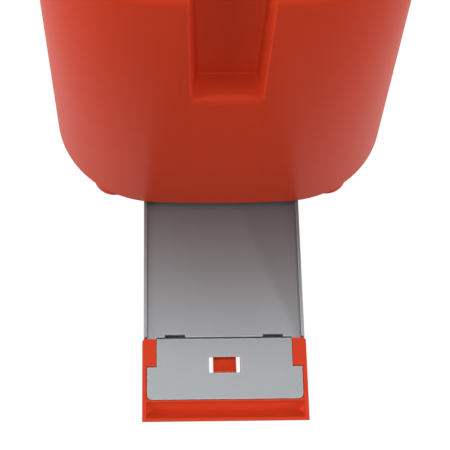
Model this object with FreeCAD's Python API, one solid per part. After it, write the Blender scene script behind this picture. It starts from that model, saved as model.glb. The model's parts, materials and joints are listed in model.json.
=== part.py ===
import FreeCAD, Part
import math
import os
from FreeCAD import Vector as V

# Two-slot toaster with its crumb tray drawn out of one end. Millimetres, +Z up.
# +Y runs from the tray end to the lever end. The table is z = 0, and the origin is the
# centre of the whole footprint with the tray out. Every shape is drawn with y = 0 at the
# tray end's wall and moved by origin_shift when it is written.

# Cutters run past the surface by over; no drawn edge is shorter than shortest_edge
over = 1.0
shortest_edge = 0.001

# Driving sizes of the housing
body_width = 168.0
body_length = 270.0
body_height = 196.0
skirt_height = 10.5
wall = 2.6
corner_radius = 52.0
crown_radius = 720.0
top_edge_radius = 9.0
inner_edge = 6.0
skirt_edge = 0.8

# Channel in each end wall
channel_height = 80.5
channel_depth = 12.5
channel_half_low = 14.1
channel_half_high = 15.8
channel_back_draft = 0.5
channel_edge_radius = 3.0
channel_back_radius = 3.0
channel_floor_radius = 4.0
ledge_edge_radius = 4.0
flare_steps = 4
corner_steps = 7
edge_steps = 3
button_steps = 8
dial_sides = 60
shaft_sides = 24
screw_sides = 12

# Bread slots
slot_centre = 23.0
slot_width = 30.0
slot_length = 148.0
slot_corner = 5.0
slot_middle = 120.0
slot_collar_depth = 9.0
deck_sheet = 1.0
deck_margin = 9.0
deck_corner = 14.0
deck_flange = 5.0

# Inner frame of sheet steel
frame_sheet = 1.0
frame_half_width = 52.0
frame_clearance = 8.0
frame_flange = 10.0
shelf_sheet = 2.0
shelf_half_width = 24.0
shelf_margin = 8.0
reflector_sheet = 0.8
element_sheet = 1.2
element_bottom = 46.0
element_below_collar = 13.4
element_gap = 7.5
element_notches = 8
notch_depth = 1.6
notch_width = 3.0

# Bread guides
guide_bar = 2.0
guide_bars = 7
guide_gap = 1.5
guide_bottom = 40.0
guide_below_collar = 2.4

# Lifting carriage
lift_travel = 54.0
lifter_below_top = 94.0
lifter_width = 11.0
lifter_sheet = 1.2
lifter_lip = 4.0
lifter_side_gap = 3.0
lifter_teeth = 6
tooth_height = 2.0
tooth_half = 1.0
arm_slit_clearance = 0.9
rod_radius = 3.0
rod_clearance = 0.05
rod_setback = 20.0
carriage_sheet = 2.0
carriage_gap = 3.0
carriage_half_width = 30.0
carriage_plate_height = 26.0
spine_half_width = 9.0
lever_arm_height = 8.0
lever_slit_clearance = 0.8
lug_margin = 5.0

# Lever knob
knob_below_top = 18.0
knob_height = 14.0
knob_width = 25.0
knob_reach = 17.0
knob_back_gap = 1.2
knob_edge = 1.2
knob_socket_depth = 8.0
knob_under = 0.3
knob_tip = 0.2
knob_rest = 0.2
knob_nose_bulge = 0.07
knob_hollow = 0.3

# Return spring
spring_radius = 4.0
spring_wire = 0.9
spring_offset = 15.0
spring_coils = 8
spring_sides = 8
spring_setback = 2.2
spring_tab_margin = 4.4

# Electromagnet and control board
magnet_side = 15.0
magnet_core = 7.0
magnet_gap = 0.4
coil_foot = 2.0
coil_head = 3.0
armature_sheet = 2.0
board_sheet = 1.6
board_half_width = 40.0
board_setback = 13.0
board_bottom_gap = 6.0
board_below_floor = 12.4
board_bracket = 8.0

# Browning dial and buttons
dial_below_buttons = 36.0
dial_radius = 20.0
dial_reach = 14.0
dial_skirt = 3.0
dial_gap = 0.4
dial_shaft_radius = 3.0
dial_hole_clearance = 0.6
dial_grip_count = 12
dial_groove = 0.9
dial_draft = 1.0
dial_bevel = 1.0
pointer_half = 1.0
pointer_depth = 0.8
pointer_start = 3.0
dial_body_side = 18.0
dial_body_depth = 7.0
button_below_floor = 25.5
button_pitch = 27.0
button_width = 19.0
button_thickness = 9.0
button_reach = 3.0
button_travel = 1.5
button_clearance = 0.4
button_flange = 1.5
button_edge = 0.6
flange_clearance = 0.5
button_stem_half = 1.5
switch_side = 6.0
switch_gap = 0.3

# Base, feet and screws
base_sheet = 2.6
base_clearance = 0.2
base_rim_height = 7.0
crumb_opening_margin = 2.0
foot_radius = 10.7
foot_x = 54.6
foot_inset = 20.3
foot_edge = 1.2
boss_half = 4.5
boss_height = 34.0
screw_radius = 1.4
boss_end_inset = 62.0
screw_head_width = 5.5
screw_head_height = 2.0
screw_hole_clearance = 0.3
screw_bite = 12.0
screw_head_sides = 6
gland_bore = 3.4
gland_wall = 1.8
gland_height = 4.0
gland_drop = 2.0
gland_inset = 13.0

# Crumb tray of sheet metal
tray_width = 78.6
tray_sheet = 0.7
tray_height = 7.0
tray_lip = 2.0
tray_length = 200.0
tray_out = 114.0
fold_slot_width = 1.6
fold_slot_length = 9.6
fold_slot_x = 24.0
flap_rise = 0.8
flap_narrow = 66.2
flap_wide = 75.4
flap_narrow_length = 14.6
flap_length = 31.2
flap_corner = 2.6
latch_hole_width = 15.4
latch_hole_length = 8.0
latch_hole_from_fold = 9.6

# Tray handle
handle_width = 80.0
handle_length = 42.0
handle_top = 8.2
handle_bottom = 3.8
handle_front_edge = 0.9
handle_gap = 0.1
handle_corner = 1.6
trough_length = 8.6
trough_rim = 1.4
trough_end_wall = 1.9
trough_end_slope = 3.9
trough_floor = 4.0
trough_bottom = 2.6
trough_setback = 6.3
trough_bed = 0.8
catch_width = 11.2
catch_rise = 0.2
tongue_length = 17.0
tongue_slit = 2.0

# Tray rails
rail_clearance = 0.5
rail_leg = 2.0
rail_lip = 3.5
rail_lip_sheet = 1.3
rail_start = 36.0
rail_length = 200.0

# Sizes that follow
half_width = body_width / 2
channel_floor = body_height - channel_height
lifter_top = body_height - lifter_below_top
knob_centre_height = body_height - knob_below_top
button_height = channel_floor - button_below_floor
dial_height = button_height - dial_below_buttons
body_middle = body_length / 2
base_top = skirt_height + base_sheet
inner_top = body_height - wall
deck_bottom = inner_top - deck_sheet
collar_bottom = deck_bottom - slot_collar_depth
shelf_bottom = deck_bottom - shelf_sheet
element_top = collar_bottom - element_below_collar
guide_top = collar_bottom - guide_below_collar
frame_front = slot_middle - slot_length / 2 - frame_clearance
frame_rear = slot_middle + slot_length / 2 + frame_clearance
frame_inner_length = frame_rear - frame_front
rod_y = frame_rear + frame_sheet + rod_setback
channel_wall_y = body_length - channel_depth
lug_low = lifter_top - carriage_sheet * 2
lug_high = knob_centre_height - lever_arm_height / 2
lug_end = rod_y + rod_radius + lug_margin
magnet_y = rod_y + rod_radius + lug_margin + magnet_side / 2
armature_bottom = lug_low - armature_sheet
magnet_top = armature_bottom - lift_travel - magnet_gap
board_y = body_length - wall - board_setback
board_low = base_top + board_bottom_gap
board_top = channel_floor - board_below_floor
fold_y = -(tray_out - handle_length)
tray_back = fold_y + tray_length
flap_top = tray_height + flap_rise
boss_x = half_width - wall - boss_half
knob_end = body_length + knob_reach
origin_shift = (tray_out - knob_end) / 2
boss_places = [(side * boss_x, y) for side in (-1, 1) for y in (boss_end_inset, body_length - boss_end_inset)]
foot_places = [(side * foot_x, y) for side in (-1, 1) for y in (foot_inset, body_length - foot_inset)]
button_places = [step * button_pitch for step in (-1, 0, 1)]


# Helpers

def box(x0, x1, y0, y1, z0, z1):
    return Part.makeBox(x1 - x0, y1 - y0, z1 - z0, V(x0, y0, z0))


def rod(radius, x, y, z0, z1):
    return Part.makeCylinder(radius, z1 - z0, V(x, y, z0))


def rod_along_y(radius, x, z, y0, y1):
    return Part.makeCylinder(radius, y1 - y0, V(x, y0, z), V(0, 1, 0))


def arc(start, middle, end):
    return Part.Arc(start, middle, end).toShape()


def line(start, end):
    return Part.LineSegment(start, end).toShape()


def mirror_y(shape):
    return shape.mirror(V(0, body_middle, 0), V(0, 1, 0))


def mirror_x(shape):
    return shape.mirror(V(0, 0, 0), V(1, 0, 0))


def rounded_rectangle(width, length, radius, x, y, z):
    # Face of a rectangle with round corners, centred on x, y
    a = width / 2
    b = length / 2
    r = radius
    d = r * (1 - math.sqrt(0.5))
    edges = []
    for sx, sy in ((1, 1), (-1, 1), (-1, -1), (1, -1)):
        first = V(x + sx * a, y + sy * (b - r), z)
        middle = V(x + sx * (a - d), y + sy * (b - d), z)
        last = V(x + sx * (a - r), y + sy * b, z)
        corner = (first, middle, last) if sx == sy else (last, middle, first)
        edges.append(corner)
    outline = []
    for index, corner in enumerate(edges):
        outline.append(arc(*corner))
        following = edges[(index + 1) % 4][0]
        if corner[2].distanceToPoint(following) > shortest_edge:
            outline.append(line(corner[2], following))
    return Part.Face(Part.Wire(outline))


def rounded_block(width, length, radius, x, y, z0, z1):
    return rounded_rectangle(width, length, radius, x, y, z0).extrude(V(0, 0, z1 - z0))


def flat_face(corners):
    return Part.Face(Part.makePolygon(corners + [corners[0]]))


def joined(shapes):
    whole = shapes[0]
    for shape in shapes[1:]:
        whole = whole.fuse(shape)
    return whole.removeSplitter()


# Housing

def plan_face(inset, z):
    # Plan outline: crowned ends, round corners and straight sides, all tangent
    a = half_width - inset
    r = corner_radius - inset
    crown = crown_radius - inset
    corner_x = half_width - corner_radius
    corner_y = crown_radius - math.sqrt((crown_radius - corner_radius) ** 2 - corner_x ** 2)
    lean = math.asin(corner_x / (crown_radius - corner_radius))
    halfway = (math.pi / 2 + lean) / 2
    touch = V(crown * math.sin(lean), crown_radius - crown * math.cos(lean), z)
    bend = V(corner_x + r * math.sin(halfway), corner_y - r * math.cos(halfway), z)
    side = V(a, corner_y, z)

    def flip(point, x_sign, far_end):
        y = body_length - point.y if far_end else point.y
        return V(x_sign * point.x, y, z)

    apex = V(0, inset, z)
    edges = [
        arc(flip(touch, -1, False), apex, touch),
        arc(touch, bend, side),
        line(side, flip(side, 1, True)),
        arc(flip(side, 1, True), flip(bend, 1, True), flip(touch, 1, True)),
        arc(flip(touch, 1, True), flip(apex, 1, True), flip(touch, -1, True)),
        arc(flip(touch, -1, True), flip(bend, -1, True), flip(side, -1, True)),
        line(flip(side, -1, True), flip(side, -1, False)),
        arc(flip(side, -1, False), flip(bend, -1, False), flip(touch, -1, False)),
    ]
    return Part.Face(Part.Wire(edges))


def inner_face(inset, z):
    # The same outline in straight steps, for surfaces inside the housing
    corners = []
    for edge in plan_face(inset, z).OuterWire.OrderedEdges:
        steps = corner_steps if edge.Length < corner_radius * 2 else 1
        if edge.Curve.TypeId == "Part::GeomCircle" and steps == 1:
            steps = 2
        corners += edge.discretize(steps + 1)[:-1]
    return flat_face(corners)


def inner_block(inset, z0, z1):
    return inner_face(inset, z0).extrude(V(0, 0, z1 - z0))


def edges_at(shape, z):
    return [edge for edge in shape.Edges
            if abs(edge.BoundBox.ZMin - z) < 1e-4 and abs(edge.BoundBox.ZMax - z) < 1e-4]


def plan_block(inset, z0, z1):
    return plan_face(inset, z0).extrude(V(0, 0, z1 - z0))


def channel_half(z):
    share = (z - channel_floor) / (body_height - channel_floor)
    return channel_half_low + share * (channel_half_high - channel_half_low)


def quarter_turn(centre_x, centre_y, radius, start, z):
    # Points of a quarter circle in plan, anticlockwise from the angle start
    angles = [start + math.pi / 2 * step / flare_steps for step in range(flare_steps + 1)]
    return [V(centre_x + radius * math.cos(angle), centre_y + radius * math.sin(angle), z) for angle in angles]


def channel_plan(z):
    # Mouth flared out to the crowned end wall, back corners eased
    half = channel_half(z)
    edge = channel_edge_radius
    back = channel_back_radius
    outer = half + edge
    mouth_y = outer ** 2 / (2 * crown_radius)
    flare = quarter_turn(outer, mouth_y + edge, edge, math.pi, z)
    flare.reverse()
    inner_half = half - channel_back_draft
    corner = quarter_turn(inner_half - back, channel_depth - back, back, 0, z)
    right = [V(outer, -2 * edge, z)] + flare + corner
    left = [V(-point.x, point.y, z) for point in reversed(right)]
    return Part.makePolygon(right + left + [right[0]])


def ledge_profile():
    # Space above the ledge, seen from the side: round front edge, round back corner
    width = body_width
    high = body_height + top_edge_radius
    front = ledge_edge_radius
    back = channel_floor_radius
    cut = 1 - math.sqrt(0.5)
    clear_y = -4 * channel_edge_radius
    deep = channel_depth + wall
    floor = channel_floor
    low = floor - front
    x = -width / 2
    mouth = channel_half(floor) ** 2 / (2 * crown_radius)
    points = [V(x, clear_y, high), V(x, clear_y, low), V(x, mouth, low), V(x, mouth + front, floor),
              V(x, channel_depth - back, floor), V(x, channel_depth, floor + back), V(x, deep, floor + back),
              V(x, deep, high)]
    edges = [
        line(points[0], points[1]),
        line(points[1], points[2]),
        arc(points[2], V(x, mouth + front * cut, floor - front * cut), points[3]),
        line(points[3], points[4]),
        arc(points[4], V(x, channel_depth - back * cut, floor + back * cut), points[5]),
        line(points[5], points[6]),
        line(points[6], points[7]),
        line(points[7], points[0]),
    ]
    return Part.Face(Part.Wire(edges)).extrude(V(width, 0, 0))


def channel_tool():
    low = channel_floor - 2 * ledge_edge_radius
    high = body_height + top_edge_radius
    shaft = Part.makeLoft([channel_plan(low), channel_plan(high)], True, True)
    return shaft.common(ledge_profile())


def channel_lining():
    # The channel's own wall on the inside of the housing
    half = channel_half_high + wall
    depth = channel_depth + wall
    return box(-half, half, -wall, depth, channel_floor - wall, body_height)


def lever_slit():
    half = carriage_sheet / 2 + lever_slit_clearance
    low = knob_centre_height - lever_arm_height / 2 - lift_travel - lever_slit_clearance
    high = knob_centre_height + lever_arm_height / 2 + lever_slit_clearance
    return box(-half, half, channel_wall_y - 2 * wall, body_length, low, high)


def deck_opening(extra, z0, z1):
    width = 2 * slot_centre + slot_width + 2 * deck_margin + 2 * extra
    length = slot_length + 2 * deck_margin + 2 * extra
    return rounded_block(width, length, deck_corner + extra, 0, slot_middle, z0, z1)


def button_outline(extra, x, y):
    # Round-ended outline of a button, in even steps round its ends
    reach = button_thickness / 2 + extra
    straight = (button_width - button_thickness) / 2
    corners = []
    for side in (1, -1):
        for step in range(button_steps + 1):
            angle = math.pi * (step / button_steps - side / 2)
            corners.append(V(x + side * straight + reach * math.cos(angle), y, button_height + reach * math.sin(angle)))
    return Part.makePolygon(corners + [corners[0]])


def button_block(extra, x, y0, y1):
    return Part.Face(button_outline(extra, x, y0)).extrude(V(0, y1 - y0, 0))


def top_edge_tiers():
    # Rounded top edge in even steps of its radius
    wires = []
    for step in range(edge_steps + 1):
        angle = math.pi / 2 * step / edge_steps
        inset = top_edge_radius * (1 - math.cos(angle))
        wires.append(plan_face(inset, body_height - top_edge_radius * (1 - math.sin(angle))).OuterWire)
    return [Part.makeLoft([wires[step], wires[step + 1]], True, True) for step in range(edge_steps)]


def make_housing():
    outer = plan_block(0, skirt_height, body_height - top_edge_radius)
    outer = outer.makeChamfer(skirt_edge, edges_at(outer, skirt_height))
    outer = joined([outer] + top_edge_tiers())
    inner = inner_block(wall, skirt_height, inner_top)
    inner = inner.makeChamfer(inner_edge, edges_at(inner, inner_top))
    lining = channel_lining()
    inner = inner.cut(lining).cut(mirror_y(lining))
    tool = channel_tool()
    shell = outer.cut(inner).cut(tool).cut(mirror_y(tool))
    shell = shell.cut(lever_slit())
    shell = shell.cut(deck_opening(0, inner_top - wall, body_height + wall))
    shaft_hole = dial_shaft_radius + dial_hole_clearance
    shell = shell.cut(rod_along_y(shaft_hole, 0, dial_height, body_length - 3 * wall, body_length + wall))
    for x in button_places:
        shell = shell.cut(button_block(button_clearance, x, body_length - 3 * wall, body_length + wall))
    for x, y in boss_places:
        side = 1 if x > 0 else -1
        rib_reach = side * (half_width - wall / 2)
        boss_top = base_top + boss_height
        rib = box(min(x, rib_reach), max(x, rib_reach), y - wall / 2, y + wall / 2, base_top, boss_top)
        boss = box(x - boss_half, x + boss_half, y - boss_half, y + boss_half, base_top, boss_top).fuse(rib)
        shell = shell.fuse(boss.cut(rod(screw_radius, x, y, base_top, base_top + screw_bite)))
    return shell.removeSplitter()


def make_deck():
    deck = deck_opening(deck_flange, deck_bottom, inner_top)
    for side in (-1, 1):
        x = side * slot_centre
        width = slot_width + 2 * deck_sheet
        length = slot_length + 2 * deck_sheet
        collar = rounded_block(width, length, slot_corner + deck_sheet, x, slot_middle, collar_bottom, inner_top)
        deck = deck.fuse(collar)
    for side in (-1, 1):
        x = side * slot_centre
        deck = deck.cut(rounded_block(slot_width, slot_length, slot_corner, x, slot_middle,
                                      collar_bottom - wall, body_height))
    return deck.removeSplitter()


# Base and feet

def make_base():
    base = inner_block(wall + base_clearance, skirt_height, base_top + base_rim_height)
    base = base.cut(inner_block(wall * 2 + base_clearance, base_top, base_top + base_rim_height + wall))
    for x, y in boss_places:
        room = boss_half + base_clearance
        outside = half_width if x > 0 else -half_width
        inside = x - room if x > 0 else x + room
        base = base.cut(box(min(inside, outside), max(inside, outside), y - room, y + room,
                            base_top, base_top + base_rim_height + wall))
        base = base.cut(rod(screw_radius + screw_hole_clearance, x, y, skirt_height - over, base_top + over))
    opening_width = tray_width - 2 * rail_lip - 2 * crumb_opening_margin
    opening_length = frame_inner_length - 2 * frame_flange - 2 * crumb_opening_margin
    base = base.cut(box(-opening_width / 2, opening_width / 2, slot_middle - opening_length / 2,
                        slot_middle + opening_length / 2, skirt_height - over, base_top + over))
    gland_y = body_length - gland_inset
    return base.cut(rod(gland_bore + gland_wall, 0, gland_y, skirt_height - over, base_top + over)).removeSplitter()


def make_foot(x, y):
    foot = rod(foot_radius, x, y, 0, skirt_height)
    return foot.makeChamfer(foot_edge, edges_at(foot, 0))


def make_feet():
    return Part.makeCompound([make_foot(x, y) for x, y in foot_places])


def make_screw(x, y):
    # Hexagon head under the base, plain shank up into the boss
    def bar(radius, sides, low, high):
        angles = [2 * math.pi * step / sides for step in range(sides)]
        corners = [V(x + radius * math.cos(angle), y + radius * math.sin(angle), low) for angle in angles]
        return flat_face(corners).extrude(V(0, 0, high - low))

    head = bar(screw_head_width / math.sqrt(3), screw_head_sides, skirt_height - screw_head_height, skirt_height)
    return head.fuse(bar(screw_radius, screw_sides, skirt_height, base_top + screw_bite)).removeSplitter()


def make_base_screws():
    return Part.makeCompound([make_screw(x, y) for x, y in boss_places])


def make_cord_gland():
    # Rubber bush pressed into the base
    y = body_length - gland_inset
    low = skirt_height - gland_drop
    high = base_top + gland_height
    return rod(gland_bore + gland_wall, 0, y, low, high).cut(rod(gland_bore, 0, y, low, high))


def make_rail(side):
    inner = tray_width / 2 + rail_clearance
    lip_top = tray_height - tray_sheet - rail_clearance / 2
    low = lip_top - rail_lip_sheet
    rail_end = rail_start + rail_length
    leg = box(inner, inner + rail_leg, rail_start, rail_end, low, skirt_height)
    rail = leg.fuse(box(inner - rail_lip, inner + rail_leg, rail_start, rail_end, low, lip_top)).removeSplitter()
    return rail if side > 0 else mirror_x(rail)


# Crumb tray

def make_tray_sheet():
    half = tray_width / 2
    low = tray_height - tray_sheet
    floor = box(-half, half, fold_y, tray_back, low, tray_height)
    lips = [box(side * half - (tray_sheet if side > 0 else 0), side * half + (0 if side > 0 else tray_sheet),
                fold_y, tray_back, low, tray_height + tray_lip) for side in (-1, 1)]
    rear_lip = box(-half, half, tray_back - tray_sheet, tray_back, low, tray_height + tray_lip)
    sheet = joined([floor, rear_lip, tray_flap(low)] + lips)
    for side in (-1, 1):
        middle = side * fold_slot_x
        sheet = sheet.cut(box(middle - fold_slot_length / 2, middle + fold_slot_length / 2,
                              fold_y, fold_y + fold_slot_width, low - over, tray_height + over))
    return sheet.removeSplitter()


def tray_flap(low):
    # Stepped up from the tray's floor, narrow between the handle's tabs, wide and round-cornered in front
    flap_low = flap_top - tray_sheet
    step = box(-flap_narrow / 2, flap_narrow / 2, fold_y - tray_sheet, fold_y, low, flap_top)
    shoulder = fold_y - flap_narrow_length
    narrow = box(-flap_narrow / 2, flap_narrow / 2, shoulder, fold_y, flap_low, flap_top)
    wide = box(-flap_wide / 2, flap_wide / 2, fold_y - flap_length, shoulder, flap_low, flap_top)
    wide = wide.makeFillet(flap_corner, upright_at(wide, fold_y - flap_length))
    hole_end = fold_y - latch_hole_from_fold
    flap = joined([step, narrow, wide])
    return flap.cut(box(-latch_hole_width / 2, latch_hole_width / 2, hole_end - latch_hole_length, hole_end,
                        flap_low - over, flap_top + over))


def upright_at(shape, y):
    # Upright edges of the shape that stand at this y
    found = []
    for edge in shape.Edges:
        bounds = edge.BoundBox
        if abs(bounds.YMin - y) < shortest_edge and bounds.YLength < shortest_edge and bounds.XLength < shortest_edge:
            found.append(edge)
    return found


def handle_block(front, back):
    # Side view: flush top, thin front edge, front wall leaning back under the trough
    trough_back = front + trough_rim * 2 + trough_length
    lean = (trough_setback - trough_rim) / (handle_top - trough_floor)
    toe = front + lean * (handle_top - handle_front_edge - trough_bottom)
    half = handle_width / 2
    corners = [V(-half, back, handle_bottom), V(-half, back, handle_top), V(-half, front, handle_top),
               V(-half, front, handle_top - handle_front_edge), V(-half, toe, trough_bottom),
               V(-half, trough_back, trough_bottom), V(-half, trough_back, handle_bottom)]
    block = flat_face(corners).extrude(V(handle_width, 0, 0))
    return block.makeFillet(handle_corner, upright_at(block, back))


def rectangle(half, y0, y1, z):
    corners = [V(-half, y0, z), V(half, y0, z), V(half, y1, z), V(-half, y1, z)]
    return Part.makePolygon(corners + [corners[0]])


def trough_space(front):
    # Finger space with four sloping sides above a narrow bed
    half = handle_width / 2 - trough_end_wall
    near = front + trough_rim
    bed = front + trough_setback
    mouth = rectangle(half, near, near + trough_length, handle_top)
    low = rectangle(half - trough_end_slope, bed, bed + trough_bed, trough_floor)
    return Part.makeLoft([low, mouth], True, True)


def make_tray_handle():
    # Frame round the flap, floor with a sprung tongue and catch, finger trough in front
    back = fold_y - handle_gap
    front = -tray_out
    floor_top = flap_top - tray_sheet
    body = handle_block(front, back)
    pocket_end = fold_y - flap_length - handle_gap
    narrow_half = flap_narrow / 2 + handle_gap
    wide_half = flap_wide / 2 + handle_gap
    shoulder = fold_y - flap_narrow_length + handle_gap
    body = body.cut(box(-narrow_half, narrow_half, shoulder - over, back + over, floor_top, handle_top + over))
    step_end = fold_y - tray_sheet - handle_gap
    step_low = tray_height - tray_sheet - handle_gap
    body = body.cut(box(-narrow_half, narrow_half, step_end, back + over, step_low, handle_top))
    pocket = box(-wide_half, wide_half, pocket_end, shoulder, floor_top, handle_top + over)
    body = body.cut(pocket.makeFillet(flap_corner, upright_at(pocket, pocket_end)))
    body = body.cut(trough_space(front))
    catch_half = catch_width / 2
    hole_end = fold_y - latch_hole_from_fold
    tongue_end = hole_end + tongue_slit
    for side in (-1, 1):
        inner = side * catch_half
        outer = side * (catch_half + tongue_slit)
        body = body.cut(box(min(inner, outer), max(inner, outer), tongue_end - tongue_length, tongue_end,
                            handle_bottom - over, floor_top + over))
    body = body.cut(box(-catch_half, catch_half, hole_end + handle_gap, tongue_end,
                        handle_bottom - over, floor_top + over))
    rear = hole_end - handle_gap
    nose = hole_end - latch_hole_length + handle_gap
    catch_profile = [V(-catch_half, rear, floor_top), V(-catch_half, rear, floor_top + catch_rise),
                     V(-catch_half, nose, flap_top + catch_rise), V(-catch_half, nose, floor_top)]
    return body.fuse(flat_face(catch_profile).extrude(V(catch_width, 0, 0))).removeSplitter()


# Inner frame, heaters and guides

def make_frame_plate(y, flange_side):
    # Upright plate with a turned foot; flange_side is where the foot points along Y
    plate = box(-frame_half_width, frame_half_width, y, y + frame_sheet, base_top, deck_bottom)
    if flange_side < 0:
        foot = box(-frame_half_width, frame_half_width, y - frame_flange, y, base_top, base_top + frame_sheet)
    else:
        foot = box(-frame_half_width, frame_half_width, y + frame_sheet, y + frame_sheet + frame_flange,
                   base_top, base_top + frame_sheet)
    return plate.fuse(foot)


def lifter_slit(x):
    half = lifter_sheet / 2 + arm_slit_clearance
    low = lifter_top - lifter_lip - lift_travel - arm_slit_clearance * 2
    high = lifter_top + tooth_height + arm_slit_clearance
    return box(x - half, x + half, frame_front - wall, frame_rear + 2 * wall, low, high)


def make_frame_front():
    return make_frame_plate(frame_front - frame_sheet, -1).removeSplitter()


def make_frame_rear():
    # Its top is turned over as a shelf that holds the guide rod and the return spring
    plate = make_frame_plate(frame_rear, 1)
    shelf_end = rod_y + shelf_margin
    shelf = box(-shelf_half_width, shelf_half_width, frame_rear, shelf_end, shelf_bottom, deck_bottom)
    plate = plate.fuse(shelf).cut(rod(rod_radius, 0, rod_y, shelf_bottom, deck_bottom))
    for x in (-slot_centre, slot_centre):
        plate = plate.cut(lifter_slit(x))
    return plate.removeSplitter()


def make_reflector(side):
    outside = side * frame_half_width
    inside = outside - side * reflector_sheet
    return box(min(outside, inside), max(outside, inside), frame_front, frame_rear, base_top, deck_bottom)


def make_element(x):
    # Mica card, notched along its long edges for the winding
    half = element_sheet / 2
    card = box(x - half, x + half, frame_front, frame_rear, element_bottom, element_top)
    step = frame_inner_length / (element_notches + 1)
    for index in range(element_notches):
        y = frame_front + step * (index + 1)
        for low in (element_bottom, element_top - notch_depth):
            high = low + notch_depth
            card = card.cut(box(x - over, x + over, y - notch_width / 2, y + notch_width / 2, low, high))
    return card


def make_guide(x):
    # Stamped grille: upright bars between two rails that end in the frame plates
    half = guide_bar / 2
    bars = [box(x - half, x + half, frame_front, frame_rear, z - half, z + half) for z in (guide_bottom, guide_top)]
    step = slot_length / (guide_bars - 1)
    for index in range(guide_bars):
        y = slot_middle - slot_length / 2 + step * index
        bars.append(box(x - half, x + half, y - half, y + half, guide_bottom, guide_top))
    return joined(bars)


# Lifting carriage

def make_guide_rod():
    return rod(rod_radius, 0, rod_y, base_top, deck_bottom)


def make_lifter(x):
    # Edge-on strip with rest teeth, bent flat along its top, run through the slit to the carriage
    half = lifter_sheet / 2
    y0 = slot_middle - slot_length / 2 + lifter_side_gap
    y1 = slot_middle + slot_length / 2 - lifter_side_gap
    join = frame_rear + frame_sheet + carriage_gap
    low = lifter_top - lifter_lip
    web = box(x - half, x + half, y0, join, low, lifter_top)
    step = (y1 - y0) / (lifter_teeth - 1)
    shelf = box(x - lifter_width / 2, x + lifter_width / 2, y0, y1, lifter_top - lifter_sheet, lifter_top)
    teeth = []
    for index in range(lifter_teeth):
        y = min(max(y0 + step * index, y0 + tooth_half), y1 - tooth_half)
        teeth.append(box(x - lifter_width / 2, x + lifter_width / 2, y - tooth_half, y + tooth_half,
                         lifter_top, lifter_top + tooth_height))
    return joined([web, shelf] + teeth)


def make_carriage():
    join = frame_rear + frame_sheet + carriage_gap
    plate = box(-carriage_half_width, carriage_half_width, join, join + carriage_sheet,
                lug_low, lug_low + carriage_plate_height)
    spine = box(-spine_half_width, spine_half_width, join, join + carriage_sheet, lug_low,
                lug_high + carriage_sheet)
    low_lug = box(-spine_half_width, spine_half_width, join, magnet_y + magnet_side / 2,
                  lug_low, lug_low + carriage_sheet)
    high_lug = box(-spine_half_width, spine_half_width, join, lug_end, lug_high, lug_high + carriage_sheet)
    arm_half = carriage_sheet / 2
    arm_end = channel_wall_y + knob_back_gap + knob_socket_depth
    arm = box(-arm_half, arm_half, lug_end - lug_margin / 2, arm_end, lug_high, lug_high + lever_arm_height)
    spring_tab = box(spine_half_width, spring_offset + spring_tab_margin, join, rod_y + spring_tab_margin,
                     lug_low, lug_low + carriage_sheet)
    whole = joined([plate, spine, low_lug, high_lug, arm, spring_tab])
    bore = rod(rod_radius + rod_clearance, 0, rod_y, lug_low - over, lug_high + carriage_sheet + over)
    return whole.cut(bore).removeSplitter()


def make_armature():
    side = magnet_side / 2
    return box(-side, side, magnet_y - side, magnet_y + side, armature_bottom, lug_low)


def knob_profile(x, inset):
    # Side outline of the paddle: flat underside, round nose and a hollowed thumb rest on top
    back = channel_wall_y + knob_back_gap
    nose = knob_end - inset
    low = knob_centre_height - knob_height / 2 + inset
    high = knob_centre_height + knob_height / 2 - inset
    length = nose - back
    height = high - low
    nose_middle = V(x, nose, knob_centre_height)
    under = V(x, nose - length * knob_under, low)
    tip = V(x, nose - length * knob_tip, high - height * knob_tip)
    rest = V(x, back + length * knob_rest, high)
    bulge = length * knob_nose_bulge
    return Part.Wire([
        line(V(x, back, low), under),
        arc(under, V(x, nose - bulge, low + height * knob_tip), nose_middle),
        arc(nose_middle, V(x, nose - bulge, high - height * knob_under), tip),
        arc(tip, V(x, (nose + back) / 2, high - height * knob_hollow), rest),
        line(rest, V(x, back, high)),
        line(V(x, back, high), V(x, back, low)),
    ])


def make_lever_knob():
    # Paddle in the channel with bevelled sides, pushed onto the carriage's arm
    half = knob_width / 2
    arm_half = carriage_sheet / 2
    back = channel_wall_y + knob_back_gap
    sections = [knob_profile(-half, knob_edge), knob_profile(knob_edge - half, 0)]
    sections += [knob_profile(half - knob_edge, 0), knob_profile(half, knob_edge)]
    socket_end = back + knob_socket_depth
    socket = box(-arm_half, arm_half, back - over, socket_end, lug_high, lug_high + lever_arm_height)
    return Part.makeLoft(sections, True, True).cut(socket)


def spring_section(angle, z):
    # Corners of the wire's square section, standing radially at this angle of the coil
    half = spring_wire / 2
    y = rod_y - spring_setback
    corners = []
    for radius, rise in ((spring_radius - spring_wire, -half), (spring_radius, -half),
                         (spring_radius, half), (spring_radius - spring_wire, half)):
        corners.append(V(spring_offset + radius * math.cos(angle), y + radius * math.sin(angle), z + rise))
    return corners


def make_spring():
    # Tension spring from the carriage's tab up to the shelf, its wire faceted from section to section
    low = lug_low + carriage_sheet + spring_wire / 2
    high = shelf_bottom - spring_wire / 2
    count = spring_coils * spring_sides
    sections = [spring_section(2 * math.pi * index / spring_sides, low + (high - low) * index / count)
                for index in range(count + 1)]
    faces = [flat_face(sections[0]), flat_face(sections[-1])]
    for near, far in zip(sections, sections[1:]):
        for corner in range(4):
            following = (corner + 1) % 4
            faces.append(flat_face([near[corner], near[following], far[corner]]))
            faces.append(flat_face([near[following], far[following], far[corner]]))
    return Part.makeSolid(Part.makeShell(faces))


# Electromagnet, control board, dial and buttons

def make_magnet_core():
    half = magnet_core / 2
    return box(-half, half, magnet_y - half, magnet_y + half, base_top, magnet_top)


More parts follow.
